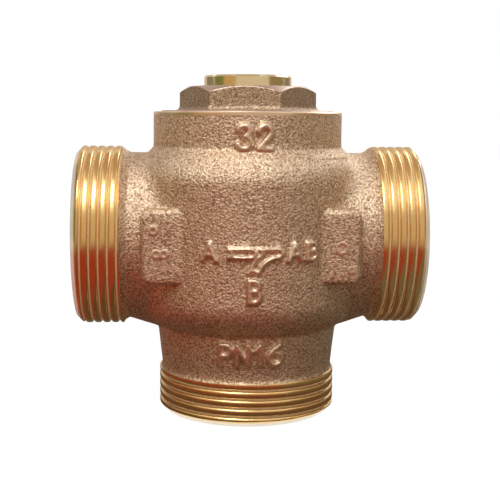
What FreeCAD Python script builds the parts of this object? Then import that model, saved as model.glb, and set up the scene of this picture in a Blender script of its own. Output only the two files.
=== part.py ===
"""Three-port thermostatic mixing valve, size 32, with male pipe threads.

The frame: origin at the centre of the bottom port's sealing face, +Z up along the
bonnet axis, +X from port A to port AB.  All lengths are millimetres.
Heights inside the valve are given from the A-AB port axis and lifted by AXIS_Z.
"""
import FreeCAD, Part
import math
import os

os.makedirs("parts", exist_ok=True)
V = FreeCAD.Vector
X, Y, Z = V(1, 0, 0), V(0, 1, 0), V(0, 0, 1)

# ---- driving dimensions -------------------------------------------------------------
AXIS_Z = 47.5               # port axis above the bottom port's face
HALF_LENGTH = 45.5          # valve axis to the face of port A or AB
THREAD_R = 23.9             # G 1 1/2 major radius
SIDE_THREAD = 11.8          # threaded length of ports A and AB
BOTTOM_THREAD = 11.0        # threaded length of port B
WATERWAY_R = 17.5           # bore of all three ports

COLLAR_R, COLLAR_TOP = 25.3, 33.1   # collar that takes the bonnet
BULB_R = 30.5               # round middle of the casting
BULB_HALF = 22.6            # half height of the bulb
BULB_SIDE = 15.0            # half height of its upright side, between the shoulders
BULB_TOP_R = 25.0           # foot of the upper shoulder
BULB_LOW_R = 26.2           # foot of the lower shoulder
NECK_R = 22.2               # side necks
NECK_RIM_R = 23.2           # cast rim left behind each side thread
NECK_BLEND = 6.0            # cast radius between the necks and the bulb
WEB_END, WEB_FOOT = 32.5, 20.0      # a neck's underside swells between these x
WEB_HALF = 22.1             # half width of the swelling
WEB_FALL = 0.33             # its fall per millimetre of x
RIM_STEP, RIM_WIDTH = 0.7, 2.2
LOWER_NECK_R = 24.4         # bottom neck under the bulb
LOWER_RIM_R = 23.2          # bottom neck above its thread
CREASE = 1.2                # sloping foot where the collar and the bottom neck leave the bulb
THREAD_LEAD = 1.6           # chamfer that starts each thread
EDGE = 0.3                  # broken edge of a machined face
FLAT_HALF = 25.0            # spanner flats, 50 across
FLAT_OUTER = 27.8           # outer end of a flat from the valve axis
FLAT_INNER = 16.0           # its inner end, inside the bulb
FLAT_HEIGHT, FLAT_CENTRE = 19.2, -0.7       # its height, centred just under the port axis
FLAT_CORNER, FLAT_EDGE = 2.6, 0.9

CAVITY_R = 26.0             # inside of the bulb
MOUTH = 3.0                 # how far the bore of port AB runs into it
FLOOR_LOW, FLOOR_TOP = 2.0, 6.5     # floor between the upper and the mixing chamber
SEAT_LEDGE = 5.0            # ledge under the cartridge flange
SEAT_R = 20.0               # pocket for the flange
SEAT_RIM_R, SEAT_RIM_TOP = 22.6, 9.6
PARTITION_OUT, PARTITION_IN = -21.0, -17.5  # wall between port A and the mixing chamber
BYPASS_SEAT = -21.5         # top face of the port B seat
BYPASS_SEAT_LOW = -24.5
BYPASS_THROAT_R = 12.0

BONNET_THREAD_R = 21.0      # M42 x 1.5, bonnet into collar
BONNET_SEAT = 31.2          # the bonnet flange bears here, in a recess of the collar
FLANGE_RECESS_R = 23.4
HEX_FLATS = 32.0            # across flats
HEX_TURN = -5.5             # degrees, as tightened
HEX_TOP = 40.6
BOSS_R, BOSS_TOP = 11.7, 43.5

FLANGE_LOW, FLANGE_TOP = 6.0, 7.5   # cartridge flange
FLANGE_HOLE_R = 13.5
DISC_R = 14.5               # main valve disc
DISC_LOW, DISC_TOP = 4.5, 5.4
SEAL_GAP, SEAL_WIDTH = 0.03, 2.6    # seal to seat at rest, and the seal's face
STROKE = 5.0                # travel of the wax element
RUNNING = 0.05              # radial clearance of a running fit
OVER = 1.0                  # how far a cutting solid runs past the face it opens

CAPSULE_R = 6.5
CAPSULE_LOW = -8.0
CAPSULE_EDGE = 1.0          # bevel of its base, and depth of the rolled groove
CAPSULE_GROOVE = (-3.0, -2.4, -1.6, -1.0)   # the groove's heights below the disc
GUIDE_R, GUIDE_TOP = 4.5, 13.0
GUIDE_COLLAR, GUIDE_WAIST = 1.5, 0.8        # wider collar on the disc, slimmer tube above
PIN_R = 1.9
PIN_LOW, BORE_SPARE = 1.0, 0.5      # pin's lower end, and the room under it
BRIDGE_TOP = 22.0
STRAP = 1.0                 # thickness of the bridge and the cage
BRIDGE_HALF, CAGE_HALF = 4.4, 2.8           # half widths of their straps
CAGE_RING_TOP = -8.3
STEM_R = 2.0
STEM_GROOVE, STEM_POINT = 0.6, 0.5
STEM_END = -18.4
BYPASS_DISC_R = 13.5
BYPASS_LOW = BYPASS_SEAT + STROKE + 0.1     # underside of the bypass seal at rest
CAVITY_SIDE, CAVITY_HALF = 14.0, 20.5       # upright side and top of the hollow in the bulb
THROAT_FLOOR_R = 19.0       # mixing chamber's floor round the port B seat
WELL_R = 17.5               # hole through the floor, under the cartridge
SNAP_LOW, SNAP_TOP = 7.55, 8.65             # groove of the retaining ring
SNAP_GROOVE_R, SNAP_INNER_R = 20.8, 18.2
SNAP_EYE_R, SNAP_EYE_X, SNAP_EYE_Y = 1.5, 17.6, 3.4
SNAP_GAP = 3.6
FLANGE_FACE = 33.4          # top of the bonnet flange
BONNET_FLANGE_R = 23.3
HEX_CHAMFER_R, HEX_SLOPE = 15.6, 30         # where the chamfer starts on top, its degrees
HEX_EDGE, HEX_FOOT = 0.6, 1.4
SKIRT_LOW, SKIRT_R = 23.6, 18.0
THREAD_GAP = 0.05
ORING_LOW, ORING_GROOVE_R = 28.8, 19.2
CEILING = 29.5              # underside of the bonnet
POCKET_R, POCKET_TOP = 10.5, 38.6           # lightening pocket under the hexagon
BOSS_EDGE = 0.5
FOOT_OUT, FOOT_IN = 17.4, 14.0              # feet of the bridge on the flange
CROWN_HALF = 6.0
TAB_OUT = 17.6              # clinched end of a cage tab
CAGE_LEG, CAGE_KNEE = 16.4, -1.0            # outer side of its legs, and where they bend in
CAGE_RING_R, CAGE_ROOM = 12.4, 0.5          # its ring, and the room round the capsule
SOCKET_R, SOCKET_LOW, SOCKET_BLIND = 3.0, 17.5, 20.8
SOCKET_SHOULDER, SOCKET_HEAD = 1.0, 0.8     # shoulder under the crown, riveted head above
MAIN_COIL_R, MAIN_WIRE_R, MAIN_TURNS = 10.4, 0.8, 4
COIL_STEPS = 20             # straight lengths in a turn of a spring
CLIP_LOW, CLIP_TOP, CLIP_R = BYPASS_LOW, BYPASS_LOW + 1.0, 3.6
CLIP_GRIP = 0.2             # its mouth is this much narrower than the groove, each side
BYPASS_FACING, BYPASS_PLATE = 1.0, 1.0      # thickness of the seal and of the disc
BYPASS_TOP = BYPASS_LOW + BYPASS_FACING + BYPASS_PLATE
SEAL_OVERLAP = 2.0          # of the bypass seal, inwards over its seat
BYPASS_COIL_R, BYPASS_WIRE_R, BYPASS_TURNS = 4.2, 0.5, 3


# ---- helpers ------------------------------------------------------------------------
def up(height):
    """A height from the port axis, as a height in the valve's frame."""
    return AXIS_Z + height


def cylinder(radius, low, top, axis=Z, centre=V(0, 0, 0)):
    """A cylinder from low to top along an axis, low and top measured in the frame."""
    return Part.makeCylinder(radius, top - low, centre + axis * low, axis)


def box(low, high):
    return Part.makeBox(high.x - low.x, high.y - low.y, high.z - low.z, low)


def profile_wire(points):
    """A closed wire of straight edges; a point given as (mid, end) makes an arc."""
    edges = []
    here = points[0]
    for item in points[1:] + [points[0]]:
        if isinstance(item, tuple):
            edges.append(Part.Arc(here, item[0], item[1]).toShape())
            here = item[1]
        else:
            edges.append(Part.LineSegment(here, item).toShape())
            here = item
    return Part.Wire(edges)


def turned(points, about=V(0, 0, 0), axis=Z):
    """A solid turned from a closed profile of points and arcs."""
    return Part.Face(profile_wire(points)).revolve(about, axis, 360)


def ring(inner, outer, low, top):
    """A flat washer round the valve axis, heights from the port axis."""
    return turned([
        V(inner, 0, up(low)), V(outer, 0, up(low)), V(outer, 0, up(top)), V(inner, 0, up(top))])


def around(radius, degrees, height):
    """A point at a radius and an angle round the valve axis."""
    angle = math.radians(degrees)
    return V(radius * math.cos(angle), radius * math.sin(angle), height)


def coil_spring(radius, wire_r, low, top, turns):
    """A coil spring between two heights: short lengths of six-sided wire along a helix."""
    steps = COIL_STEPS * turns
    start = up(low) + wire_r
    rise = (top - low - 2 * wire_r) / steps
    route = [around(radius, 360 * k / COIL_STEPS, start + rise * k) for k in range(steps + 1)]
    path = Part.Wire([Part.LineSegment(a, b).toShape() for a, b in zip(route, route[1:])])
    across = (route[1] - route[0]).cross(X).normalize()
    hexagon = [around(wire_r, 60 * k, 0) for k in range(6)]
    corners = [route[0] + X * corner.x + across * corner.y for corner in hexagon]
    return path.makePipeShell([profile_wire(corners)], True, False, 1)


def export(shape, node):
    """Write one node; every solid in it must be sound."""
    for solid in shape.Solids:
        if not solid.isValid():
            raise ValueError(node + " has an unsound solid")
    shape.exportStep("parts/" + node + ".step")
    print(node, len(shape.Solids), "solid(s)", round(shape.Volume / 1000, 2), "cm3")


# ---- valve body: one bronze casting ---------------------------------------------------
def shoulder(foot, side):
    """The (mid, side) arc from a shoulder's foot to the bulb's upright side."""
    run = abs(side.x - foot.x)
    rise = abs(side.z - foot.z)
    radius = (run ** 2 + rise ** 2) / (2 * run)
    centre = V(side.x - radius, 0, side.z)
    middle = (foot - centre).normalize() + (side - centre).normalize()
    return centre + middle.normalize() * radius


def bulb():
    low_foot = V(BULB_LOW_R, 0, up(-BULB_HALF))
    low_side = V(BULB_R, 0, up(-BULB_SIDE))
    top_side = V(BULB_R, 0, up(BULB_SIDE))
    top_foot = V(BULB_TOP_R, 0, up(BULB_HALF))
    return turned([
        V(0, 0, up(-BULB_HALF)), low_foot,
        (shoulder(low_foot, low_side), low_side), top_side,
        (shoulder(top_foot, top_side), top_foot), V(0, 0, up(BULB_HALF))])


def side_port(side):
    """Neck, cast rim and thread blank of port A (side -1) or port AB (side +1)."""
    thread_in = HALF_LENGTH - SIDE_THREAD
    centre = V(0, 0, AXIS_Z)
    stations = [
        (0, 0), (0, NECK_R), (thread_in - RIM_WIDTH, NECK_R),
        (thread_in - RIM_STEP, NECK_RIM_R), (thread_in, THREAD_R),
        (HALF_LENGTH - THREAD_LEAD, THREAD_R), (HALF_LENGTH, THREAD_R - THREAD_LEAD),
        (HALF_LENGTH, 0)]
    return turned([centre + V(side * x, 0, r) for x, r in stations], centre, X)


def neck_web(side):
    """Swelling of a neck's underside towards the bottom port, half an oval in section."""
    hoops = []
    for x in (WEB_END, WEB_FOOT):
        centre = V(side * x, 0, AXIS_Z)
        depth = NECK_R + (WEB_END - x) * WEB_FALL
        oval = Part.Ellipse(centre - Z * depth, centre + Y * WEB_HALF, centre)
        lower = Part.ArcOfEllipse(oval, -math.pi / 2, math.pi / 2).toShape()
        ends = [v.Point for v in lower.Vertexes]
        hoops.append(Part.Wire([lower, Part.LineSegment(ends[1], ends[0]).toShape()]))
    return Part.makeLoft(hoops, True, True)


def bottom_port():
    rim_top = BOTTOM_THREAD + RIM_WIDTH
    return turned([
        V(0, 0, 0), V(THREAD_R - THREAD_LEAD, 0, 0), V(THREAD_R, 0, THREAD_LEAD),
        V(THREAD_R, 0, BOTTOM_THREAD), V(LOWER_RIM_R, 0, BOTTOM_THREAD + RIM_STEP),
        V(LOWER_RIM_R, 0, rim_top), V(LOWER_NECK_R, 0, up(-BULB_HALF) - CREASE),
        V(LOWER_NECK_R + CREASE, 0, up(-BULB_HALF)), V(LOWER_NECK_R + CREASE, 0, up(-BULB_SIDE)),
        V(0, 0, up(-BULB_SIDE))])


def collar():
    return turned([
        V(0, 0, up(BULB_SIDE)), V(COLLAR_R + 2 * CREASE, 0, up(BULB_HALF) - CREASE),
        V(COLLAR_R, 0, up(BULB_HALF) + CREASE), V(COLLAR_R, 0, up(COLLAR_TOP) - EDGE),
        V(COLLAR_R - EDGE, 0, up(COLLAR_TOP)), V(0, 0, up(COLLAR_TOP))])


def spanner_flat(side):
    """Pad cast through a neck; its front and back faces are a pair of flats."""
    ends = sorted([side * FLAT_INNER, side * FLAT_OUTER])
    low = up(FLAT_CENTRE - FLAT_HEIGHT / 2)
    pad = box(V(ends[0], -FLAT_HALF, low), V(ends[1], FLAT_HALF, low + FLAT_HEIGHT))
    corners = [e for e in pad.Edges
               if abs(e.CenterOfMass.y) < 1 and abs(e.CenterOfMass.x - side * FLAT_OUTER) < 0.01]
    pad = pad.makeFillet(FLAT_CORNER, corners)
    rims = [e for e in pad.Edges if abs(abs(e.CenterOfMass.y) - FLAT_HALF) < 0.01
            and abs(e.CenterOfMass.x - side * FLAT_INNER) > 0.01]
    return pad.makeChamfer(FLAT_EDGE, rims)


def outer_casting():
    """Outside of the casting: the blends come first, then collar, bottom port and flats."""
    solid = bulb().fuse(side_port(-1)).fuse(side_port(1)).removeSplitter()
    joins = [e for e in solid.Edges if abs(e.CenterOfMass.x) < BULB_R
             and min(e.BoundBox.XLength, e.BoundBox.YLength, e.BoundBox.ZLength) > 0.05]
    solid = solid.makeFillet(NECK_BLEND, joins)
    for side in (-1, 1):
        solid = solid.fuse(neck_web(side))
    solid = solid.fuse(collar()).fuse(bottom_port()).removeSplitter()
    return solid.fuse(spanner_flat(-1)).fuse(spanner_flat(1))


def upper_cavity():
    """Bonnet thread, upper chamber and the pocket that holds the cartridge."""
    return turned([
        V(0, 0, up(SEAT_LEDGE)), V(SEAT_R, 0, up(SEAT_LEDGE)),
        V(SEAT_R, 0, up(SNAP_LOW)), V(SNAP_GROOVE_R, 0, up(SNAP_LOW)),
        V(SNAP_GROOVE_R, 0, up(SNAP_TOP)), V(SEAT_R, 0, up(SNAP_TOP)),
        V(SEAT_R, 0, up(SEAT_RIM_TOP)), V(SEAT_RIM_R, 0, up(SEAT_RIM_TOP)),
        V(SEAT_RIM_R, 0, up(FLOOR_TOP)), V(CAVITY_R, 0, up(FLOOR_TOP)),
        V(CAVITY_R, 0, up(CAVITY_SIDE)), V(BONNET_THREAD_R, 0, up(CAVITY_HALF)),
        V(BONNET_THREAD_R, 0, up(BONNET_SEAT)), V(FLANGE_RECESS_R, 0, up(BONNET_SEAT)),
        V(FLANGE_RECESS_R, 0, up(COLLAR_TOP) + OVER), V(0, 0, up(COLLAR_TOP) + OVER)])


def lower_cavity():
    """Room inside the bulb below the floor, for the mixing chamber and port A."""
    return turned([
        V(0, 0, up(BYPASS_SEAT)), V(THROAT_FLOOR_R, 0, up(BYPASS_SEAT)),
        V(CAVITY_R, 0, up(-CAVITY_SIDE)), V(CAVITY_R, 0, up(FLOOR_LOW)),
        V(0, 0, up(FLOOR_LOW))])


def slab(x_low, x_high, z_low, z_high):
    """Part of the cavity's space between two x and two heights."""
    reach = 2 * BULB_R
    return box(V(x_low, -reach, up(z_low)), V(x_high, reach, up(z_high)))


def valve_body():
    """The casting, with the chambers, seats and bores that are cored and machined in it."""
    room = lower_cavity()
    mixing = room.common(slab(PARTITION_IN, HALF_LENGTH, -BULB_R, BULB_R))
    inlet = room.common(slab(-HALF_LENGTH, PARTITION_OUT, -BULB_R, BULB_R))
    inlet_top = turned([
        V(0, 0, 0), V(CAVITY_R, 0, 0), V(CAVITY_R, 0, up(CAVITY_SIDE)), V(0, 0, up(CAVITY_SIDE))])
    inlet_top = inlet_top.common(slab(-HALF_LENGTH, PARTITION_OUT, FLOOR_LOW - OVER, CAVITY_SIDE))
    centre = V(0, 0, AXIS_Z)
    bore_a = cylinder(WATERWAY_R, -HALF_LENGTH - OVER, PARTITION_OUT, X, centre)
    bore_ab = cylinder(WATERWAY_R, CAVITY_R - MOUTH, HALF_LENGTH + OVER, X, centre)
    bore_b = cylinder(WATERWAY_R, -OVER, up(BYPASS_SEAT_LOW))
    throat = cylinder(BYPASS_THROAT_R, up(BYPASS_SEAT_LOW) - OVER, up(BYPASS_SEAT) + OVER)
    well = cylinder(WELL_R, up(FLOOR_LOW) - OVER, up(SEAT_LEDGE) + OVER)
    solid = outer_casting()
    for void in (upper_cavity(), mixing, inlet, inlet_top, bore_a, bore_ab, bore_b, throat, well):
        solid = solid.cut(void)
    return solid


# ---- bonnet: hexagon cap with its seal -------------------------------------------------
def bonnet_cap():
    """Cast hexagon on a turned flange and threaded skirt, hollow underneath."""
    corner_r = HEX_FLATS / math.sqrt(3)
    corners = [around(corner_r, 60 * k + HEX_TURN, up(FLANGE_FACE)) for k in range(6)]
    height = HEX_TOP - FLANGE_FACE
    hexagon = Part.Face(profile_wire(corners)).extrude(Z * height)
    uprights = [e for e in hexagon.Edges if e.BoundBox.ZLength > height - 0.01]
    hexagon = hexagon.makeFillet(HEX_EDGE, uprights)
    crown_r = corner_r + OVER
    drop = (crown_r - HEX_CHAMFER_R) * math.tan(math.radians(HEX_SLOPE))
    crown = turned([
        V(0, 0, up(FLANGE_FACE)), V(crown_r, 0, up(FLANGE_FACE)), V(crown_r, 0, up(HEX_TOP) - drop),
        V(HEX_CHAMFER_R, 0, up(HEX_TOP)), V(0, 0, up(HEX_TOP))])
    hexagon = hexagon.common(crown)
    turned_part = turned([
        V(SKIRT_R, 0, up(SKIRT_LOW)), V(BONNET_THREAD_R - THREAD_GAP, 0, up(SKIRT_LOW)),
        V(BONNET_THREAD_R - THREAD_GAP, 0, up(ORING_LOW)), V(ORING_GROOVE_R, 0, up(ORING_LOW)),
        V(ORING_GROOVE_R, 0, up(BONNET_SEAT)), V(BONNET_FLANGE_R, 0, up(BONNET_SEAT)),
        V(BONNET_FLANGE_R, 0, up(FLANGE_FACE) - EDGE), V(BONNET_FLANGE_R - EDGE, 0, up(FLANGE_FACE)),
        V(POCKET_R, 0, up(FLANGE_FACE)), V(POCKET_R, 0, up(CEILING)), V(SKIRT_R, 0, up(CEILING))])
    boss = turned([
        V(0, 0, up(POCKET_TOP)), V(BOSS_R, 0, up(POCKET_TOP)), V(BOSS_R, 0, up(BOSS_TOP) - BOSS_EDGE),
        V(BOSS_R - BOSS_EDGE, 0, up(BOSS_TOP)), V(0, 0, up(BOSS_TOP))])
    pocket = cylinder(POCKET_R, up(CEILING) - OVER, up(POCKET_TOP))
    solid = hexagon.fuse(turned_part).cut(pocket).fuse(boss).removeSplitter()
    on_face = [e for e in solid.Edges
               if e.BoundBox.ZLength < 0.01 and abs(e.CenterOfMass.z - up(FLANGE_FACE)) < 0.01]
    foot = [e for e in on_face
            if POCKET_R + OVER < max(math.hypot(v.X, v.Y) for v in e.Vertexes) < crown_r]
    return solid.makeFillet(HEX_FOOT, foot)


def bonnet_seal_ring():
    """O-ring under the bonnet flange, squeezed to its groove."""
    return ring(ORING_GROOVE_R, BONNET_THREAD_R, ORING_LOW, BONNET_SEAT)


# ---- thermostatic cartridge: the fixed pieces ------------------------------------------
def cartridge_flange():
    """Turned flange with the main seat, slotted for the cage's tabs."""
    return cage_slots(ring(FLANGE_HOLE_R, SEAT_R - 0.1, FLANGE_LOW, FLANGE_TOP))


def flange_gasket():
    return ring(WELL_R + 0.1, SEAT_R - 0.1, SEAT_LEDGE, FLANGE_LOW)


def retaining_ring():
    """Internal snap ring with its gap and two pliers eyes, sprung into the pocket's groove."""
    solid = ring(SNAP_INNER_R, SNAP_GROOVE_R, SNAP_LOW, SNAP_TOP)
    for side in (-1, 1):
        centre = V(-SNAP_EYE_X, side * SNAP_EYE_Y, 0)
        solid = solid.fuse(cylinder(SNAP_EYE_R, up(SNAP_LOW), up(SNAP_TOP), Z, centre))
        solid = solid.cut(cylinder(SNAP_EYE_R / 2, up(SNAP_LOW) - OVER, up(SNAP_TOP) + OVER, Z, centre))
    gap = box(V(-SNAP_GROOVE_R - OVER, -SNAP_GAP / 2, up(SNAP_LOW) - OVER),
              V(0, SNAP_GAP / 2, up(SNAP_TOP) + OVER))
    return solid.cut(gap)


def bent_strip(line, half_width):
    """A strip of STRAP thickness on the upper or outer side of a line in the YZ plane.

    The line runs from one end of half the piece to the valve axis's plane; the other
    half is its mirror image.
    """
    offset = []
    for k, point in enumerate(line):
        after = (line[k + 1] - point).normalize() if k + 1 < len(line) else V(0, -1, 0)
        before = (point - line[k - 1]).normalize() if k else after
        normal = V(0, before.z, -before.y)
        across = (normal + V(0, after.z, -after.y)).normalize()
        offset.append(point + across * (STRAP / across.dot(normal)))
    half = Part.Face(profile_wire(line + list(reversed(offset)))).extrude(X * 2 * half_width)
    return half.translated(V(-half_width, 0, 0))


def mirrored_pair(half):
    return half.fuse(half.mirror(V(0, 0, 0), Y)).removeSplitter()


def upper_bridge():
    """Arched strap over the flange; its crown holds the socket of the piston pin."""
    line = [V(0, FOOT_OUT, up(FLANGE_TOP)), V(0, FOOT_IN, up(FLANGE_TOP)),
            V(0, CROWN_HALF, up(BRIDGE_TOP - STRAP)), V(0, 0, up(BRIDGE_TOP - STRAP))]
    solid = mirrored_pair(bent_strip(line, BRIDGE_HALF))
    solid = solid.cut(cylinder(SOCKET_R, up(BRIDGE_TOP - STRAP) - OVER, up(BRIDGE_TOP) + OVER))
    return cage_slots(solid)


def cage_slots(solid):
    """Cut the two slots that the cage's tabs pass through."""
    for side in (-1, 1):
        centre = side * (CAGE_LEG - STRAP / 2)
        half = STRAP / 2 + RUNNING
        slot = box(V(-CAGE_HALF - RUNNING, centre - half, up(FLANGE_LOW) - OVER),
                   V(CAGE_HALF + RUNNING, centre + half, up(FLANGE_TOP + STRAP) + OVER))
        solid = solid.cut(slot)
    return solid


def lower_cage():
    """Strap that carries the main spring; its tabs are clinched over the bridge's feet."""
    line = [V(0, TAB_OUT, up(FLANGE_TOP + STRAP)), V(0, CAGE_LEG, up(FLANGE_TOP + STRAP)),
            V(0, CAGE_LEG, up(CAGE_KNEE)), V(0, CAGE_RING_R, up(CAGE_RING_TOP - STRAP)),
            V(0, CAPSULE_R, up(CAGE_RING_TOP - STRAP))]
    bottom = CAGE_RING_TOP - STRAP
    solid = mirrored_pair(bent_strip(line, CAGE_HALF))
    solid = solid.fuse(cylinder(CAGE_RING_R, up(bottom), up(CAGE_RING_TOP)))
    hole = cylinder(CAPSULE_R + CAGE_ROOM, up(bottom) - OVER, up(CAGE_RING_TOP) + OVER)
    return solid.cut(hole).removeSplitter()


def piston_socket():
    """Turned bush riveted in the bridge's crown, blind bore downwards."""
    shoulder_r = SOCKET_R + SOCKET_SHOULDER
    top = BRIDGE_TOP + SOCKET_HEAD
    return turned([
        V(0, 0, up(SOCKET_BLIND)), V(PIN_R, 0, up(SOCKET_BLIND)), V(PIN_R, 0, up(SOCKET_LOW)),
        V(shoulder_r, 0, up(SOCKET_LOW)), V(shoulder_r, 0, up(BRIDGE_TOP - STRAP)),
        V(SOCKET_R, 0, up(BRIDGE_TOP - STRAP)), V(SOCKET_R, 0, up(top)), V(0, 0, up(top))])


def piston_pin():
    """Ground pin with a pointed lower end, pushed by the wax."""
    return turned([
        V(0, 0, up(PIN_LOW)), V(PIN_R / 2, 0, up(PIN_LOW)), V(PIN_R, 0, up(PIN_LOW) + PIN_R / 2),
        V(PIN_R, 0, up(SOCKET_BLIND)), V(0, 0, up(SOCKET_BLIND))])


def main_spring():
    """Coil spring that lifts the wax element against its seat."""
    return coil_spring(MAIN_COIL_R, MAIN_WIRE_R, CAGE_RING_TOP, DISC_LOW, MAIN_TURNS)


# ---- thermostatic cartridge: the wax element --------------------------------------------
def wax_capsule():
    """Sealed copper can of wax with a groove rolled round it, bored for the piston pin."""
    waist = CAPSULE_R - CAPSULE_EDGE
    bore = PIN_R + RUNNING
    bottom = PIN_LOW - BORE_SPARE
    grooved = [waist if k in (1, 2) else CAPSULE_R for k in range(4)]
    groove = [V(radius, 0, up(DISC_LOW + height)) for radius, height in zip(grooved, CAPSULE_GROOVE)]
    return turned([
        V(0, 0, up(CAPSULE_LOW)), V(waist, 0, up(CAPSULE_LOW)),
        V(CAPSULE_R, 0, up(CAPSULE_LOW + CAPSULE_EDGE)), *groove, V(CAPSULE_R, 0, up(DISC_LOW)), V(bore, 0, up(DISC_LOW)), V(bore, 0, up(bottom)),
        V(0, 0, up(bottom))])


def capsule_guide():
    """Turned brass guide that the pin runs in, pressed on the capsule through the disc."""
    bore = PIN_R + RUNNING
    tube = GUIDE_R - GUIDE_WAIST
    collar_top = DISC_TOP + GUIDE_COLLAR
    return turned([
        V(bore, 0, up(DISC_LOW)), V(GUIDE_R, 0, up(DISC_LOW)), V(GUIDE_R, 0, up(DISC_TOP)),
        V(GUIDE_R + GUIDE_COLLAR, 0, up(DISC_TOP)), V(GUIDE_R + GUIDE_COLLAR, 0, up(collar_top)),
        V(tube, 0, up(collar_top + GUIDE_WAIST)), V(tube, 0, up(GUIDE_TOP) - GUIDE_WAIST),
        V(tube - GUIDE_WAIST, 0, up(GUIDE_TOP)), V(bore, 0, up(GUIDE_TOP))])


def main_disc():
    """Flat disc of the hot valve, held between the capsule and its guide."""
    return ring(GUIDE_R, DISC_R, DISC_LOW, DISC_TOP)


def disc_seal():
    """Rubber ring bonded on the disc's rim, facing the seat."""
    return ring(DISC_R - SEAL_WIDTH, DISC_R, DISC_TOP, FLANGE_LOW - SEAL_GAP)


def bypass_stem():
    """Turned stem under the capsule, grooved for its clip."""
    groove_r = STEM_R - STEM_GROOVE
    return turned([
        V(0, 0, up(STEM_END)), V(STEM_R - STEM_POINT, 0, up(STEM_END)),
        V(STEM_R, 0, up(STEM_END + STEM_POINT)), V(STEM_R, 0, up(CLIP_LOW)), V(groove_r, 0, up(CLIP_LOW)), V(groove_r, 0, up(CLIP_TOP)),
        V(STEM_R, 0, up(CLIP_TOP)), V(STEM_R, 0, up(CAPSULE_LOW)), V(0, 0, up(CAPSULE_LOW))])


def stem_clip():
    """Open spring clip in the stem's groove; the bypass disc rests on it."""
    groove_r = STEM_R - STEM_GROOVE
    solid = ring(groove_r, CLIP_R, CLIP_LOW, CLIP_TOP)
    half = groove_r - CLIP_GRIP
    return solid.cut(box(V(0, -half, up(CLIP_LOW) - OVER), V(CLIP_R + OVER, half, up(CLIP_TOP) + OVER)))


def bypass_spring():
    """Light spring that holds the bypass disc down on its clip."""
    return coil_spring(BYPASS_COIL_R, BYPASS_WIRE_R, BYPASS_TOP, CAPSULE_LOW, BYPASS_TURNS)


# ---- bypass valve: slides on the stem ------------------------------------------------------
def bypass_disc():
    """Flat disc that slides on the stem."""
    return ring(STEM_R + RUNNING, BYPASS_DISC_R, BYPASS_LOW + BYPASS_FACING, BYPASS_TOP)


def bypass_seal():
    """Rubber facing bonded under the bypass disc."""
    return ring(BYPASS_THROAT_R - SEAL_OVERLAP, BYPASS_DISC_R, BYPASS_LOW, BYPASS_LOW + BYPASS_FACING)


NODES = (
    valve_body, bonnet_cap, bonnet_seal_ring, cartridge_flange, flange_gasket, retaining_ring,
    upper_bridge, lower_cage, piston_socket, piston_pin, main_spring,
    wax_capsule, capsule_guide, main_disc, disc_seal, bypass_stem, stem_clip, bypass_spring,
    bypass_disc, bypass_seal)
for make in NODES:
    export(make(), make.__name__)
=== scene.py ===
import bmesh
import bpy
import math
import mathutils.bvhtree
from mathutils import Matrix, Vector, noise


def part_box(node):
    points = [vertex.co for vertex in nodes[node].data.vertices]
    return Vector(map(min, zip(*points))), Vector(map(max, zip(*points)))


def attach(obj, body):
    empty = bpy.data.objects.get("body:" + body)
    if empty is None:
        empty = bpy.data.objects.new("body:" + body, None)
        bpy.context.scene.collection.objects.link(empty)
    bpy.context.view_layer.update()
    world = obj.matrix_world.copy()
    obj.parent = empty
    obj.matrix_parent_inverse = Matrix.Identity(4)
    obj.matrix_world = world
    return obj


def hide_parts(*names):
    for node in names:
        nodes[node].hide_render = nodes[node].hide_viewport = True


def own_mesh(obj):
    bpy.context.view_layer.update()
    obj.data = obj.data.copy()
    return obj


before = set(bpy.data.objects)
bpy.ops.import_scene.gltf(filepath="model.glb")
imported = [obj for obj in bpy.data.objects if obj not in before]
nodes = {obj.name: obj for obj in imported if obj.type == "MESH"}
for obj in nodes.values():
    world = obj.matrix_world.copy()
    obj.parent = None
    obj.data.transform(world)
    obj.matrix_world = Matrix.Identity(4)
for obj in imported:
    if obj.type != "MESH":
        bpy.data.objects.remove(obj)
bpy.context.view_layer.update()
MM = 0.001


# ---- Camera, floor and light --------------------------------------------------------
# The valve stands on its bottom port on a pale sweep.  The camera is nearly level with
# the side ports; large soft sources and a low warm mat give the metal its reflections.
CAMERA_PLACE = Vector((-14.88, -280.43, 79.5)) * MM
CAMERA_YAW, CAMERA_DOWN, CAMERA_ROLL = math.radians(-3.21), math.radians(7.39), math.radians(0.35)
CAMERA_LENS, CAMERA_NEAR = 74.36, 0.01
FLOOR_WHITE, FLOOR_GLOW = (0.86, 0.86, 0.855, 1), 1.06
FLOOR_R, FLOOR_SEGMENTS = 3.0, 96

camera = bpy.data.objects.new("camera", bpy.data.cameras.new("camera"))
bpy.context.scene.collection.objects.link(camera)
camera.data.lens = CAMERA_LENS
camera.data.clip_start = CAMERA_NEAR
camera.matrix_world = (
    Matrix.Translation(CAMERA_PLACE)
    @ Matrix.Rotation(CAMERA_YAW, 4, "Z")
    @ Matrix.Rotation(math.radians(90) - CAMERA_DOWN, 4, "X")
    @ Matrix.Rotation(CAMERA_ROLL, 4, "Z")
)
bpy.context.scene.camera = camera
bpy.context.scene.view_settings.view_transform = "Standard"


class Value:
    """One output of a material's nodes, usable in ordinary arithmetic."""

    def __init__(self, finish, socket):
        self.finish = finish
        self.socket = socket

    def _math(self, operation, first, second):
        return self.finish.node("Math", {"operation": operation}, {0: first, 1: second})

    def __add__(self, other):
        return self._math("ADD", self, other)

    __radd__ = __add__

    def __sub__(self, other):
        return self._math("SUBTRACT", self, other)

    def __rsub__(self, other):
        return self._math("SUBTRACT", other, self)

    def __mul__(self, other):
        return self._math("MULTIPLY", self, other)

    __rmul__ = __mul__


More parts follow.
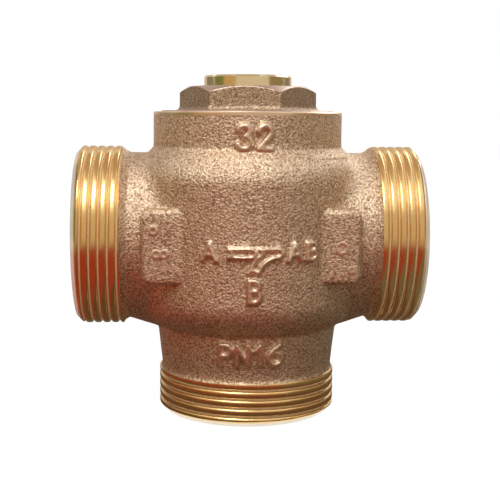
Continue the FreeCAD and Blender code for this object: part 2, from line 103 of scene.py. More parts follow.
class Finish:
    """A material built on a Principled shader, or on one that takes its place."""

    def __init__(self, name):
        self.material = bpy.data.materials.new(name)
        self.material.use_nodes = True
        self.tree = self.material.node_tree
        self.shader = self.tree.nodes["Principled BSDF"]
        self.out = self.tree.nodes["Material Output"]

    def fill(self, node, inputs):
        for key, value in inputs.items():
            if isinstance(value, Value):
                self.tree.links.new(value.socket, node.inputs[key])
            else:
                node.inputs[key].default_value = value

    def node(self, kind, settings=None, inputs=None, output=0):
        made = self.tree.nodes.new("ShaderNode" + kind)
        for key, value in (settings or {}).items():
            if key == "stops":
                ramp = made.color_ramp
                while len(ramp.elements) < len(value):
                    ramp.elements.new(0.5)
                for element, (place, colour) in zip(ramp.elements, value):
                    element.position = place
                    element.color = colour
            else:
                setattr(made, key, value)
        self.fill(made, inputs or {})
        return Value(self, made.outputs[output])

    def surface(self, **inputs):
        self.fill(self.shader, {key.replace("_", " "): value for key, value in inputs.items()})

    def place(self):
        """Object coordinates."""
        return self.node("TexCoord", output=3)

    def noise(self, size_mm, detail=2.0, roughness=0.5):
        """Noise whose features are about size_mm across."""
        return self.node("TexNoise", {}, {"Vector": self.place(), "Scale": 1000.0 / size_mm,
                                          "Detail": detail, "Roughness": roughness})

    def mix(self, factor, first, second):
        """A colour between two colours."""
        return self.node("Mix", {"data_type": "RGBA"}, {0: factor, 6: first, 7: second}, 2)

    def bump(self, height, distance_mm):
        return self.node("Bump", {}, {"Height": height, "Distance": distance_mm * MM})


def pale_floor():
    """White to the camera and in reflections, a plain pale diffuse floor otherwise."""
    finish = Finish("pale_floor")
    finish.surface(Base_Color=FLOOR_WHITE, Roughness=0.9)
    ray = finish.tree.nodes.new("ShaderNodeLightPath")
    kinds = ("Is Camera Ray", "Is Glossy Ray", "Is Transmission Ray")
    seen = [Value(finish, ray.outputs[kind]) for kind in kinds]
    white = finish.node("Emission", {}, {"Color": (1, 1, 1, 1), "Strength": FLOOR_GLOW})
    lit = Value(finish, finish.shader.outputs[0])
    share = (seen[0] + seen[1] + seen[2]) * 0.9
    blend = finish.node("MixShader", {}, {0: share, 1: lit, 2: white})
    finish.fill(finish.out, {"Surface": blend})
    return finish.material


def add_mesh(name, mesh_bm, material, smooth_angle=None):
    """Turn a bmesh into a finished object that sits at the origin."""
    mesh = bpy.data.meshes.new(name)
    mesh_bm.to_mesh(mesh)
    mesh_bm.free()
    if smooth_angle is not None:
        mesh.polygons.foreach_set("use_smooth", [True] * len(mesh.polygons))
        mesh.set_sharp_from_angle(angle=math.radians(smooth_angle))
    mesh.materials.append(material)
    piece = bpy.data.objects.new(name, mesh)
    bpy.context.scene.collection.objects.link(piece)
    return piece


floor_bm = bmesh.new()
bmesh.ops.create_circle(floor_bm, cap_ends=True, radius=FLOOR_R,
                        segments=FLOOR_SEGMENTS)
floor = add_mesh("floor", floor_bm, pale_floor())

# The world is white all round.  A low red mat, a tan table and wall, a ceiling and the
# brown and olive sides of the room, which only reflections see, stand for the studio, a
# dark ring on the mat is the valve's shadow painted round its foot, and two broad lamps
# give the shape its light side.
ROOM_WHITE, ROOM_FILL = 1.0, 0.55
MAT_RED, MAT_BROWN, MAT_SHADOW = (0.32, 0.05, 0.03, 1), (0.17, 0.15, 0.11, 1), (0.12, 0.07, 0.045, 1)
TABLE_TAN, TABLE_PALE = (0.46, 0.37, 0.30, 1), (0.80, 0.74, 0.68, 1)
WALL_TAN = (0.63, 0.52, 0.43, 1)
CEILING_BROWN = (0.50, 0.38, 0.30, 1)
SIDE_OLIVE, SIDE_UMBER, SIDE_BROWN = (0.17, 0.18, 0.05, 1), (0.50, 0.31, 0.15, 1), (0.26, 0.18, 0.10, 1)
BACK_GREY = (0.22, 0.18, 0.15, 1)
MAT_HIGH, MAT_IN, MAT_OUT = 0.0006, 0.053, 0.30
ROOM_R, WALL_HIGH, CEILING_HIGH, CEILING_R = 1.6, 1.20, 1.6, 0.45
SIDE_R, SIDE_HIGH, BACK_R, BACK_HIGH, CARD_LOW = 0.55, 0.22, 0.9, 0.6, 0.001
CARD_STEPS = 48

world = bpy.data.worlds.new("studio")
bpy.context.scene.world = world
world.use_nodes = True
sky = world.node_tree
paths = sky.nodes.new("ShaderNodeLightPath")
direct = sky.nodes.new("ShaderNodeMath")
direct.operation = "MAXIMUM"
sky.links.new(paths.outputs["Is Camera Ray"], direct.inputs[0])
sky.links.new(paths.outputs["Is Glossy Ray"], direct.inputs[1])
level = sky.nodes.new("ShaderNodeMapRange")
level.inputs["To Min"].default_value = ROOM_FILL
level.inputs["To Max"].default_value = ROOM_WHITE
sky.links.new(direct.outputs[0], level.inputs["Value"])
sky.links.new(level.outputs[0], sky.nodes["Background"].inputs["Strength"])
sky.nodes["Background"].inputs["Color"].default_value = (1, 1, 1, 1)


def glow_card(name, colour, start, end, first=0, last=360):
    """A band of even colour that only glossy rays see, spun round the valve.

    Start and end are (radius, height) in metres; first and last are degrees from the
    front, positive to the right.
    """
    finish = Finish(name)
    glow = finish.node("Emission", {}, {"Color": colour, "Strength": 1.0})
    finish.fill(finish.out, {"Surface": glow})
    card_bm = bmesh.new()
    ends = [card_bm.verts.new((0, -radius, height)) for radius, height in (start, end)]
    edge = card_bm.edges.new(ends)
    turn = Matrix.Rotation(math.radians(first), 4, "Z")
    bmesh.ops.transform(card_bm, matrix=turn, verts=card_bm.verts[:])
    bmesh.ops.spin(card_bm, geom=ends + [edge], axis=(0, 0, 1), cent=(0, 0, 0),
                   angle=math.radians(last - first), steps=CARD_STEPS)
    card = add_mesh(name, card_bm, finish.material)
    card.visible_camera = False
    card.visible_diffuse = False
    card.visible_shadow = False


# Painted shadow: the dark inner ring of the mat stands for the valve's own shadow on it.
glow_card("painted_shadow_mat", MAT_SHADOW, (0.0242, MAT_HIGH), (MAT_IN, MAT_HIGH))
glow_card("red_mat", MAT_RED, (MAT_IN, MAT_HIGH), (MAT_OUT, MAT_HIGH), -120, 35)
glow_card("brown_mat", MAT_BROWN, (MAT_IN, MAT_HIGH), (MAT_OUT, MAT_HIGH), 35, 240)
glow_card("tan_table", TABLE_TAN, (MAT_OUT, MAT_HIGH), (ROOM_R, MAT_HIGH), -104, 104)
glow_card("pale_table_back", TABLE_PALE, (MAT_OUT, MAT_HIGH), (ROOM_R, MAT_HIGH), 104, 256)
glow_card("tan_wall", WALL_TAN, (ROOM_R, 0.0), (ROOM_R, WALL_HIGH))
glow_card("brown_ceiling", CEILING_BROWN, (0.001, CEILING_HIGH), (CEILING_R, CEILING_HIGH))
glow_card("brown_ceiling_back", CEILING_BROWN, (CEILING_R, CEILING_HIGH), (1.7, CEILING_HIGH),
          110, 250)
glow_card("olive_side", SIDE_OLIVE, (SIDE_R, CARD_LOW), (SIDE_R, SIDE_HIGH), -100, -68)
glow_card("umber_side", SIDE_UMBER, (SIDE_R, CARD_LOW), (SIDE_R, SIDE_HIGH), -68, -34)
glow_card("brown_side", SIDE_BROWN, (SIDE_R, CARD_LOW), (SIDE_R, SIDE_HIGH), 54, 104)
glow_card("grey_back_left", BACK_GREY, (BACK_R, CARD_LOW), (BACK_R, BACK_HIGH), -140, -104)
glow_card("grey_back_right", BACK_GREY, (BACK_R, CARD_LOW), (BACK_R, BACK_HIGH), 108, 140)


def soft_lamp(name, place, size, watts, colour):
    lamp = bpy.data.objects.new(name, bpy.data.lights.new(name, "AREA"))
    lamp.data.shape = "DISK"
    lamp.data.size = size
    lamp.data.energy = watts
    lamp.data.color = colour
    lamp.location = place
    lamp.rotation_euler = (-Vector(place)).to_track_quat("-Z", "Y").to_euler()
    bpy.context.scene.collection.objects.link(lamp)


soft_lamp("key", (-0.35, -0.8, 1.4), 0.8, 10.0, (1.0, 0.97, 0.92))
soft_lamp("rim", (0.8, 1.0, 0.9), 0.9, 5.0, (1.0, 1.0, 1.0))


# ---- Valve body: the cast skin ------------------------------------------------------
# One bronze sand casting, blasted, so its whole skin is a fine leathery grain, with its
# port letters, flow arrow, size and pressure class cast proud.  The three port threads
# and the collar's edge are machined, and are the pieces after this one.
AXIS = 47.5 * MM
body_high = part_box("valve_body")[1]
HALF_LENGTH, COLLAR_TOP = body_high.x, body_high.z
THREAD_IN = HALF_LENGTH - 11.8 * MM
BOTTOM_THREAD = 11.0 * MM
COLLAR_EDGE = 0.6 * MM
VOXEL = 0.33 * MM
SKIN_TRIANGLES = 170000
UNEVEN_SIZE, UNEVEN_DEPTH = 3.2 * MM, 0.06 * MM
MARK_RISE, RING_RISE, BEAD_STEP = 0.4 * MM, 0.06 * MM, 0.4
RAY_START = -0.1


def copy_of(node):
    """A merged copy of a node's mesh, to work on."""
    copied = bmesh.new()
    copied.from_mesh(nodes[node].data)
    bmesh.ops.remove_doubles(copied, verts=copied.verts[:], dist=1e-7)
    return copied


def slice_off(bm, place, normal):
    """Drop what lies beyond a plane, on the side its normal points to."""
    geom = bm.verts[:] + bm.edges[:] + bm.faces[:]
    bmesh.ops.bisect_plane(bm, geom=geom, dist=1e-7, plane_co=place, plane_no=normal, clear_outer=True)


def connected_to(start):
    """Every vertex that edges join to the first one."""
    found, to_visit = {start}, [start]
    while to_visit:
        here = to_visit.pop()
        for edge in here.link_edges:
            other = edge.other_vert(here)
            if other not in found:
                found.add(other)
                to_visit.append(other)
    return found


def open_loop(bm, axis, level):
    """Edges with one face that lie at a level along an axis (0, 1, 2 for x, y, z)."""
    return [e for e in bm.edges if len(e.link_faces) == 1
            and all(abs(v.co[axis] - level) < 1e-5 for v in e.verts)]


PORT_PLANES = (
    (Vector((THREAD_IN, 0, 0)), Vector((1, 0, 0))),
    (Vector((-THREAD_IN, 0, 0)), Vector((-1, 0, 0))),
    (Vector((0, 0, BOTTOM_THREAD)), Vector((0, 0, -1))),
    (Vector((0, 0, COLLAR_TOP - COLLAR_EDGE)), Vector((0, 0, 1))),
)
casting = copy_of("valve_body")
for place, normal in PORT_PLANES:
    slice_off(casting, place, normal)
outer = connected_to(min(casting.verts, key=lambda v: v.co.y))
inside = casting.copy()
inside_verts = inside.verts[:]
bmesh.ops.delete(casting, geom=[v for v in casting.verts if v not in outer], context="VERTS")
inner = connected_to(min(inside_verts, key=lambda v: v.co.y))
bmesh.ops.delete(inside, geom=list(inner), context="VERTS")
front = mathutils.bvhtree.BVHTree.FromBMesh(casting)


marks = bmesh.new()


def stroke(points, radius, rise=MARK_RISE):
    """A rounded bead laid along points (x, z) on the front of the casting."""
    route = []
    for (x0, z0), (x1, z1) in zip(points, points[1:]):
        steps = max(1, round(math.hypot(x1 - x0, z1 - z0) / BEAD_STEP))
        route += [(x0 + (x1 - x0) * k / steps, z0 + (z1 - z0) * k / steps) for k in range(steps)]
    for x, z in route + [points[-1]]:
        spot = front.ray_cast(Vector((x * MM, RAY_START, AXIS + z * MM)), Vector((0, 1, 0)))[0]
        centre = spot + Vector((0, -rise, 0))
        bmesh.ops.create_icosphere(marks, subdivisions=2, radius=radius * MM,
                                   matrix=Matrix.Translation(centre))


def arc(cx, cz, rx, rz, first, last):
    """Points (x, z) on part of an oval, angles in degrees anticlockwise from +x."""
    steps = max(4, abs(last - first) // 15)
    angles = [math.radians(first + (last - first) * k / steps) for k in range(steps + 1)]
    return [(cx + rx * math.cos(a), cz + rz * math.sin(a)) for a in angles]


def letter(sign, left, low, width, height, radius):
    """One plain cast sign, as beads in a box given from its lower left corner."""
    def at(u, v):
        return (left + u * width, low + v * height)

    def bow(u, v, ru, rv, first, last):
        return arc(left + u * width, low + v * height, ru * width, rv * height, first, last)

    beads = {
        "A": [[at(0, 0), at(0.5, 1), at(1, 0)], [at(0.22, 0.34), at(0.78, 0.34)]],
        "B": [[at(0, 0), at(0, 1), at(0.5, 1)] + bow(0.5, 0.76, 0.42, 0.24, 75, -90) + [at(0, 0.52)],
              [at(0, 0), at(0.5, 0)] + bow(0.5, 0.26, 0.5, 0.26, -75, 90)],
        "P": [[at(0, 0), at(0, 1), at(0.5, 1)] + bow(0.5, 0.73, 0.5, 0.27, 75, -90) + [at(0, 0.46)]],
        "N": [[at(0, 0), at(0, 1), at(1, 0), at(1, 1)]],
        "1": [[at(0, 0.7), at(0.8, 1), at(0.8, 0)]],
        "6": [[at(0.85, 1)] + bow(1.0, 0.3, 1.0, 0.62, 110, 180) + bow(0.5, 0.3, 0.5, 0.3, 180, 540)],
        "3": [bow(0.46, 0.76, 0.46, 0.24, 165, -75), bow(0.46, 0.28, 0.54, 0.28, 75, -160)],
        "2": [bow(0.5, 0.72, 0.48, 0.28, 170, -20) + [at(0, 0), at(1, 0)]],
    }
    for bead in beads[sign]:
        stroke(bead, radius)


for sign, left, low, width, height, radius in (
        ("A", -12.4, -3.3, 3.2, 4.1, 0.62), ("A", 8.9, -3.3, 3.2, 4.1, 0.62),
        ("B", 13.7, -3.3, 2.2, 4.1, 0.62), ("B", -0.9, -13.5, 2.4, 5.2, 0.66),
        ("3", -3.5, 23.9, 2.9, 5.7, 0.85), ("2", 1.5, 23.9, 3.1, 5.7, 0.85),
        ("P", -7.9, -31.0, 2.8, 5.2, 0.68), ("N", -3.7, -31.0, 2.9, 5.2, 0.68),
        ("1", 0.9, -31.0, 1.7, 5.2, 0.68), ("6", 4.5, -31.0, 3.2, 5.2, 0.68)):
    letter(sign, left, low, width, height, radius)

# Flow arrow: the hot stream from A, notched at its tail, and the one that curves up from B
ARROW_LINE = 0.5
stroke([(-6.1, -0.4), (-0.2, -0.4), (0.6, -1.4), (-0.2, -2.4), (-6.1, -2.4), (-5.2, -1.4),
        (-6.1, -0.4)], ARROW_LINE)
stroke([(-1.2, -6.3), (0.0, -5.6), (1.1, -6.3)] + arc(6.5, -7.1, 5.2, 4.7, 165, 90)
       + [(7.4, -1.4), (6.5, -0.4), (1.6, -0.4), (2.4, -1.4)] + arc(6.9, -7.6, 7.9, 7.4, 130, 168),
       ARROW_LINE)

# Faint rings on the spanner pads
RING_LINE = 0.22
for x, z, across in ((-24.7, 3.6, 0.9), (-23.9, -2.3, 0.9), (-22.0, -2.3, 0.9),
                     (22.7, -0.8, 1.3), (25.1, -6.4, 0.7)):
    stroke(arc(x, z, across, across, 0, 360), RING_LINE, RING_RISE)


def remeshed(bm, size, triangles):
    """One closed skin over everything in a bmesh, even at first and then thinned where it is flat."""
    rough = add_mesh("rough", bm, None)
    skin = rough.modifiers.new("skin", "REMESH")
    skin.mode = "VOXEL"
    skin.voxel_size = size
    even = rough.evaluated_get(bpy.context.evaluated_depsgraph_get())
    thin = rough.modifiers.new("thin", "DECIMATE")
    thin.ratio = min(1.0, triangles / (2 * len(even.data.polygons)))
    made = bmesh.new()
    made.from_mesh(rough.evaluated_get(bpy.context.evaluated_depsgraph_get()).to_mesh())
    bpy.data.objects.remove(rough)
    return made


LEVELS = ((0, THREAD_IN), (0, -THREAD_IN), (2, BOTTOM_THREAD), (2, COLLAR_TOP - COLLAR_EDGE))
for axis, level in LEVELS:
    bmesh.ops.contextual_create(casting, geom=open_loop(casting, axis, level))
raised = bpy.data.meshes.new("raised_marks")
marks.to_mesh(raised)
signs = mathutils.bvhtree.BVHTree.FromBMesh(marks)
casting.from_mesh(raised)
casting = remeshed(casting, VOXEL, SKIN_TRIANGLES)
bmesh.ops.smooth_vert(casting, verts=casting.verts[:], factor=0.35,
                      use_axis_x=True, use_axis_y=True, use_axis_z=True)
casting.normal_update()
for vert in casting.verts:
    vert.co += vert.normal * UNEVEN_DEPTH * noise.noise(vert.co / UNEVEN_SIZE)

# The raised signs get a smoother finish than the skin round them
MARK_REACH, FRONT_Y, FACES_FRONT = 0.22 * MM, -18 * MM, -0.2
for face in casting.faces:
    centre = face.calc_center_median()
    in_front = centre.y < FRONT_Y and face.normal.y < FACES_FRONT
    if in_front and signs.find_nearest(centre, MARK_REACH)[0]:
        face.material_index = 2

# The skin is opened again a voxel inside its ends and joined to the bores and chambers
for face in inside.faces:
    face.material_index = 1
for place, normal in PORT_PLANES:
    slice_off(casting, place - normal * VOXEL, normal)
    slice_off(inside, place - normal * VOXEL, normal)
chambers = bpy.data.meshes.new("chambers")
inside.to_mesh(chambers)
inside.free()
casting.from_mesh(chambers)
for axis, level in LEVELS:
    inward = level - math.copysign(VOXEL, level) if axis == 0 or level > AXIS else level + VOXEL
    bmesh.ops.bridge_loops(casting, edges=open_loop(casting, axis, inward))


def metal_grain(finish, colour, pit_shade, size_mm, depth_mm, roughness):
    """Blasted cast metal: wormy grain with finer pitting over it, and shade painted into its pits as a
    darker colour.
    """
    worms = finish.noise(size_mm, 2.0, 0.5)
    pits = finish.noise(size_mm * 0.45, 2.0, 0.6)
    patches = finish.noise(9.0, 2.0)
    height = worms + pits * 0.4
    # Painted shade: the mask is 0 down in the grain's pits, where the colour goes to the darker one.
    depth = finish.node("MapRange", {}, {"Value": height, "From Min": 0.52, "From Max": 0.84})
    finish.surface(
        Base_Color=finish.mix(depth, pit_shade, colour),
        Metallic=1.0,
        Roughness=patches * 0.12 + (1 - depth) * 0.1 + roughness,
        Normal=finish.bump(height, depth_mm),
    )


# Each grain's second, darker colour is shade painted into its pits.
cast_bronze = Finish("cast_bronze")
metal_grain(cast_bronze, (0.91, 0.74, 0.55, 1), (0.38, 0.24, 0.145, 1), 0.56, 0.30, 0.37)
worn_bronze = Finish("worn_bronze")
metal_grain(worn_bronze, (0.93, 0.77, 0.60, 1), (0.62, 0.44, 0.31, 1), 0.62, 0.08, 0.30)
cored_bronze = Finish("cored_bronze")
metal_grain(cored_bronze, (0.62, 0.42, 0.27, 1), (0.34, 0.19, 0.11, 1), 0.7, 0.12, 0.42)

body_skin = add_mesh("cast_body", casting, cast_bronze.material, 35)
body_skin.data.materials.append(cored_bronze.material)
body_skin.data.materials.append(worn_bronze.material)
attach(body_skin, "valve")
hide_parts("valve_body")


# ---- Valve body: the three pipe threads and the collar's edge -------------------------
# Threads of G 1 1/2 pitch and outside diameter, 11 turns to the inch, with rounded crests,
# a chamfered start and a flat face for a gasket.  They are 0.95 mm deep and not the
# standard's 1.48 mm.
PITCH = 25.4 / 11 * MM
CREST_R, ROOT_R, BORE_R = 23.9 * MM, 22.95 * MM, 17.5 * MM
THREAD_LEAD, BORE_EDGE = 1.6 * MM, 0.4 * MM
TURN_STEPS, PROFILE_STEPS = 120, 14
# Radii over which the painted highlight at the thread roots fades out
ROOT_FROM, ROOT_TO = ROOT_R + 0.1 * MM, ROOT_R + 0.6 * MM
LINES_ACROSS, LINES_ALONG = 6000.0, 150.0


def crest(share):
    """Height of the thread, 0 to 1, across one pitch: broad crests and narrow roots."""
    return 1 - abs(2 * share - 1) ** 4


def one_turn():
    """One turn of the thread, round +X, as a mesh."""
    helix = bmesh.new()
    points = []
    for k in range(PROFILE_STEPS + 1):
        share = k / PROFILE_STEPS
        radius = ROOT_R + (CREST_R - ROOT_R) * crest(share)
        points.append(helix.verts.new(((share - 1) * PITCH, 0, radius)))
    for a, b in zip(points, points[1:]):
        helix.edges.new((a, b))
    bmesh.ops.spin(helix, geom=helix.verts[:] + helix.edges[:], axis=(1, 0, 0), cent=(0, 0, 0),
                   dvec=(PITCH / TURN_STEPS, 0, 0), angle=-math.tau, steps=TURN_STEPS)
    mesh = bpy.data.meshes.new("one_turn")
    helix.to_mesh(mesh)
    helix.free()
    return mesh


def drawn_in(verts, radius, shift):
    """Bring a ring of vertices round X to a radius, and move it along X."""
    for vert in verts:
        now = math.hypot(vert.co.y, vert.co.z)
        vert.co = Vector((vert.co.x + shift, vert.co.y * radius / now, vert.co.z * radius / now))


def pipe_thread(length):
    """A threaded sleeve on +X, from x = 0 to its end face at x = length."""
    turn = one_turn()
    helix = bmesh.new()
    for _ in range(math.ceil(length / PITCH) + 2):
        helix.from_mesh(turn)
        bmesh.ops.translate(helix, vec=(PITCH, 0, 0), verts=helix.verts[:])
    bmesh.ops.translate(helix, vec=(-2 * PITCH, 0, 0), verts=helix.verts[:])
    bmesh.ops.remove_doubles(helix, verts=helix.verts[:], dist=1e-6)
    for vert in helix.verts:
        limit = CREST_R - THREAD_LEAD + (length - vert.co.x)
        if math.hypot(vert.co.y, vert.co.z) > limit:
            drawn_in([vert], limit, 0)
    slice_off(helix, Vector((0, 0, 0)), Vector((-1, 0, 0)))
    slice_off(helix, Vector((length, 0, 0)), Vector((1, 0, 0)))
    steps = ((0, BORE_R, 0), (length, BORE_R + BORE_EDGE, 0), (length, BORE_R, -BORE_EDGE))
    for level, radius, shift in steps:
        made = bmesh.ops.extrude_edge_only(helix, edges=open_loop(helix, 0, level))["geom"]
        drawn_in([v for v in made if isinstance(v, bmesh.types.BMVert)], radius, shift)
    bore = [e for e in helix.edges if len(e.link_faces) == 1]
    bmesh.ops.bridge_loops(helix, edges=bore)
    bmesh.ops.recalc_face_normals(helix, faces=helix.faces[:])
    return helix


def tool_lines(finish, colour, warm, roughness, along, root_highlight=None):
    """Freshly turned metal: fine lines round the axis it was turned on, and faint stains.

    Root is a painted highlight: a pale colour painted at the bottom of a thread.
    """
    stain = finish.noise(5.0, 3.0, 0.6)
    metal = finish.mix(stain, colour, warm)
    finish.surface(Metallic=1.0)
    # Painted highlight: pale and less metallic towards the thread's roots.
    if root_highlight:
        to_axis = [0.0 if k == along else 1.0 for k in range(3)]
        centre = (0, 0, 0 if along == 2 else -AXIS)
        across = finish.node("Mapping", {}, {0: finish.place(), 1: centre, 3: to_axis})
        radius = finish.node("VectorMath", {"operation": "LENGTH"}, {0: across}, 1)
        depth = finish.node("MapRange", {}, {"Value": radius, "From Min": ROOT_FROM,
                                             "From Max": ROOT_TO})
        metal = finish.mix(depth, root_highlight, metal)
        finish.surface(Metallic=depth * 0.5 + 0.5)
    fineness = [LINES_ACROSS if k == along else LINES_ALONG for k in range(3)]
    squeezed = finish.node("Mapping", {}, {0: finish.place(), 3: fineness})
    lines = finish.node("TexNoise", {}, {"Vector": squeezed, "Scale": 1.0, "Detail": 2.0})
    scuff = finish.noise(0.5, 2.0)
    finish.surface(
        Base_Color=metal,
        Roughness=scuff * 0.12 + lines * 0.08 + roughness,
        Normal=finish.bump(lines + scuff, 0.012),
    )


THREAD_GOLD, THREAD_WARM = (0.93, 0.69, 0.31, 1), (0.84, 0.54, 0.22, 1)
# A painted highlight for the bottoms of the threads
THREAD_ROOT_HIGHLIGHT = (1.0, 0.90, 0.76, 1)
side_thread = Finish("side_thread")
tool_lines(side_thread, THREAD_GOLD, THREAD_WARM, 0.12, 0, THREAD_ROOT_HIGHLIGHT)
low_thread = Finish("low_thread")
tool_lines(low_thread, THREAD_GOLD, THREAD_WARM, 0.14, 2, THREAD_ROOT_HIGHLIGHT)
faced_bronze = Finish("faced_bronze")
tool_lines(faced_bronze, (0.88, 0.68, 0.38, 1), (0.78, 0.56, 0.30, 1), 0.20, 1)

FACED_DEPTH = 1 * MM
SIDE = HALF_LENGTH - THREAD_IN + VOXEL
BOTTOM = BOTTOM_THREAD + VOXEL
PORTS = (
    ("port_a_thread", SIDE, side_thread, Matrix.Translation((VOXEL - THREAD_IN, 0, AXIS))
     @ Matrix.Rotation(math.pi, 4, "Z")),
    ("port_ab_thread", SIDE, side_thread, Matrix.Translation((THREAD_IN - VOXEL, 0, AXIS))),
    ("port_b_thread", BOTTOM, low_thread,
     Matrix.Translation((0, 0, BOTTOM)) @ Matrix.Rotation(math.pi / 2, 4, "Y")),
)
for name, length, finish, place in PORTS:
    sleeve = pipe_thread(length)
    for face in sleeve.faces:
        if min(math.hypot(vert.co.y, vert.co.z) for vert in face.verts) < ROOT_R - FACED_DEPTH:
            face.material_index = 1
    bmesh.ops.transform(sleeve, matrix=place, verts=sleeve.verts[:])
    thread = add_mesh(name, sleeve, finish.material, 35)
    thread.data.materials.append(faced_bronze.material)
    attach(thread, "valve")
    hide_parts("valve_body")


LATHE_STEPS = 144


def turned(outline):
    """A piece turned round the valve axis from a closed outline of (radius, height) points."""
    lathe = bmesh.new()
    points = [lathe.verts.new((radius, 0, height)) for radius, height in outline]
    for a, b in zip(points, points[1:] + points[:1]):
        lathe.edges.new((a, b))
    bmesh.ops.spin(lathe, geom=lathe.verts[:] + lathe.edges[:], axis=(0, 0, 1), cent=(0, 0, 0),
                   angle=math.tau, steps=LATHE_STEPS, use_merge=True)
    bmesh.ops.remove_doubles(lathe, verts=lathe.verts[:], dist=1e-7)
    bmesh.ops.recalc_face_normals(lathe, faces=lathe.faces[:])
    return lathe


# The collar's top is faced off, with a broken edge and the recess for the bonnet's flange
RECESS_R, COLLAR_R, BROKEN = 23.4 * MM, 25.3 * MM, 0.3 * MM
EDGE_FOOT = COLLAR_TOP - COLLAR_EDGE - VOXEL
collar_bronze = Finish("collar_bronze")
tool_lines(collar_bronze, (0.95, 0.80, 0.60, 1), (0.88, 0.62, 0.40, 1), 0.20, 2)
rim = turned([(RECESS_R, EDGE_FOOT), (COLLAR_R, EDGE_FOOT), (COLLAR_R, COLLAR_TOP - BROKEN),
              (COLLAR_R - BROKEN, COLLAR_TOP), (RECESS_R, COLLAR_TOP)])
collar_edge = add_mesh("collar_edge", rim, collar_bronze.material, 30)
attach(collar_edge, "valve")
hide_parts("valve_body")


# ---- Bonnet ---------------------------------------------------------------------------
# Cast hexagon cap that screws into the collar, its chamfer, flange and boss turned bright
# and its flats left with the fine grain.  Hexagon top and boss are HEX_DROP lower than
# in the solid.
BONNET_VOXEL, BONNET_TRIANGLES = 0.26 * MM, 110000
HEX_LOW, HEX_TOP, FLANGE_FACE = AXIS + 36 * MM, AXIS + 40.6 * MM, AXIS + 33.4 * MM
HEX_DROP, ABOVE_HEX, ABOVE_FLANGE, BOSS_SUNK = 0.8 * MM, 0.05 * MM, 0.25 * MM, 0.2 * MM
BOSS_R, BOSS_EDGE = 11.7 * MM, 0.5 * MM
BOSS_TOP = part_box("bonnet_cap")[1].z - HEX_DROP

cap = copy_of("bonnet_cap")
slice_off(cap, Vector((0, 0, HEX_TOP + ABOVE_HEX)), Vector((0, 0, 1)))
bmesh.ops.contextual_create(cap, geom=open_loop(cap, 2, HEX_TOP + ABOVE_HEX))
for vert in cap.verts:
    if vert.co.z > HEX_LOW:
        vert.co.z -= HEX_DROP
cap = remeshed(cap, BONNET_VOXEL, BONNET_TRIANGLES)
bmesh.ops.smooth_vert(cap, verts=cap.verts[:], factor=0.5,
                      use_axis_x=True, use_axis_y=True, use_axis_z=True)
cap.normal_update()
for face in cap.faces:
    middle = face.calc_center_median()
    on_chamfer = face.normal.z > 0.3 and middle.z > HEX_LOW - HEX_DROP
    if middle.z > FLANGE_FACE + ABOVE_FLANGE and not on_chamfer:
        face.material_index = 1

turned_bronze = Finish("turned_bronze")
tool_lines(turned_bronze, (0.64, 0.51, 0.43, 1), (0.56, 0.42, 0.34, 1), 0.30, 2)
# Its second, darker colour is shade painted into the pits of the grain.
hex_bronze = Finish("hex_bronze")
metal_grain(hex_bronze, (0.60, 0.47, 0.33, 1), (0.26, 0.17, 0.11, 1), 0.5, 0.24, 0.34)
bonnet = add_mesh("bonnet_hexagon", cap, turned_bronze.material, 35)
bonnet.data.materials.append(hex_bronze.material)
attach(bonnet, "valve")
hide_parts("bonnet_cap")

boss_bronze = Finish("boss_bronze")
tool_lines(boss_bronze, (1.0, 0.92, 0.60, 1), (0.95, 0.82, 0.50, 1), 0.06, 2)
boss_foot = HEX_TOP - HEX_DROP - BOSS_SUNK
boss = turned([(0.0, boss_foot), (BOSS_R, boss_foot), (BOSS_R, BOSS_TOP - BOSS_EDGE),
               (BOSS_R - BOSS_EDGE, BOSS_TOP), (0.0, BOSS_TOP)])
bonnet_boss = add_mesh("bonnet_boss", boss, boss_bronze.material, 30)
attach(bonnet_boss, "valve")
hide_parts("bonnet_cap")


# ---- Springs of the cartridge -----------------------------------------------------------
# Drawn stainless wire.  The main spring lifts the wax element against its seat; the light
# one holds the bypass disc on its clip.
MAIN_COIL_R, MAIN_WIRE_R, MAIN_TURNS = 10.4 * MM, 0.8 * MM, 4
BYPASS_COIL_R, BYPASS_WIRE_R, BYPASS_TURNS = 4.2 * MM, 0.5 * MM, 3
COIL_STEPS = 36
ELEMENT_STROKE, BYPASS_STROKE = 5.0 * MM, 2.5 * MM


def coil(radius, wire_r, low, top, turns):
    """Round wire wound round the valve axis between two heights."""
    wire = bmesh.new()
    upright = Matrix.Rotation(math.pi / 2, 4, "X")
    bmesh.ops.create_circle(wire, cap_ends=False, radius=wire_r, segments=12,
                            matrix=Matrix.Translation((radius, 0, low + wire_r)) @ upright)
    steps = COIL_STEPS * turns
    bmesh.ops.spin(wire, geom=wire.verts[:] + wire.edges[:], axis=(0, 0, 1), cent=(0, 0, 0),
                   dvec=(0, 0, (top - low - 2 * wire_r) / steps), angle=turns * math.tau, steps=steps)
    bmesh.ops.holes_fill(wire, edges=[e for e in wire.edges if len(e.link_faces) == 1], sides=0)
    bmesh.ops.recalc_face_normals(wire, faces=wire.faces[:])
    return wire


def plain_metal(finish, colour, worn, size_mm, depth_mm, roughness):
    """Drawn, stamped or ground metal: a faint even grain, duller where it is handled."""
    grain = finish.noise(size_mm, 3.0, 0.6)
    worn_places = finish.noise(4.0, 2.0)
    finish.surface(
        Base_Color=finish.mix(worn_places, colour, worn),
        Metallic=1.0,
        Roughness=grain * 0.15 + worn_places * 0.08 + roughness,
        Normal=finish.bump(grain, depth_mm),
    )


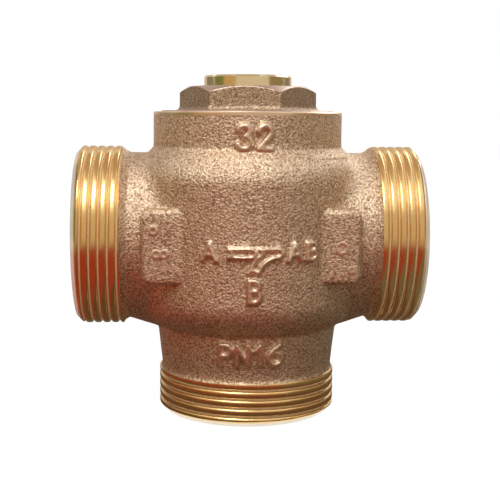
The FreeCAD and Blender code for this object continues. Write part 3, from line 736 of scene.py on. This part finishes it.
spring_wire = Finish("spring_wire")
plain_metal(spring_wire, (0.66, 0.65, 0.62, 1), (0.50, 0.49, 0.46, 1), 0.3, 0.01, 0.20)
for node, body, joint, left, radius, wire_r, turns in (
        ("main_spring", "valve", "element_slide", ELEMENT_STROKE,
         MAIN_COIL_R, MAIN_WIRE_R, MAIN_TURNS),
        ("bypass_spring", "element", "bypass_lift", BYPASS_STROKE,
         BYPASS_COIL_R, BYPASS_WIRE_R, BYPASS_TURNS)):
    low, top = (corner.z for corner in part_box(node))
    spring = add_mesh(node + "_coil", coil(radius, wire_r, low, top, turns), spring_wire.material, 40)
    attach(spring, body)
    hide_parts(node)
    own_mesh(spring)


# ---- Rest of the cartridge, and the seals -------------------------------------------------
# The solids of the frame have their true shape, so they only get their finishes: turned
# brass, drawn copper, stamped stainless strip, spring wire, a ground pin and black rubber.
def rubber(finish, colour, pale):
    """Moulded rubber: matt, with a fine bloom."""
    bloom = finish.noise(2.5, 3.0, 0.6)
    skin = finish.noise(0.25, 2.0)
    finish.surface(
        Base_Color=finish.mix(bloom, colour, pale),
        Roughness=skin * 0.2 + 0.55,
        Normal=finish.bump(skin, 0.01),
    )


turned_brass, drawn_copper = Finish("turned_brass"), Finish("drawn_copper")
stamped_steel, ground_steel = Finish("stamped_steel"), Finish("ground_steel")
black_rubber = Finish("black_rubber")
tool_lines(turned_brass, (0.88, 0.70, 0.34, 1), (0.78, 0.56, 0.24, 1), 0.22, 2)
plain_metal(drawn_copper, (0.84, 0.46, 0.30, 1), (0.62, 0.30, 0.18, 1), 0.4, 0.015, 0.24)
plain_metal(stamped_steel, (0.68, 0.67, 0.64, 1), (0.54, 0.53, 0.50, 1), 0.35, 0.015, 0.26)
tool_lines(ground_steel, (0.74, 0.73, 0.71, 1), (0.64, 0.63, 0.61, 1), 0.08, 2)
rubber(black_rubber, (0.020, 0.020, 0.021, 1), (0.050, 0.049, 0.047, 1))
FINISHES = (
    (turned_brass, ("cartridge_flange", "piston_socket", "capsule_guide", "bypass_stem")),
    (drawn_copper, ("wax_capsule",)),
    (stamped_steel, ("upper_bridge", "lower_cage", "main_disc", "bypass_disc")),
    (spring_wire, ("retaining_ring", "stem_clip")),
    (ground_steel, ("piston_pin",)),
    (black_rubber, ("bonnet_seal_ring", "flange_gasket", "disc_seal", "bypass_seal")),
)
for finish, names in FINISHES:
    for name in names:
        for slot in nodes[name].material_slots:
            slot.material = finish.material
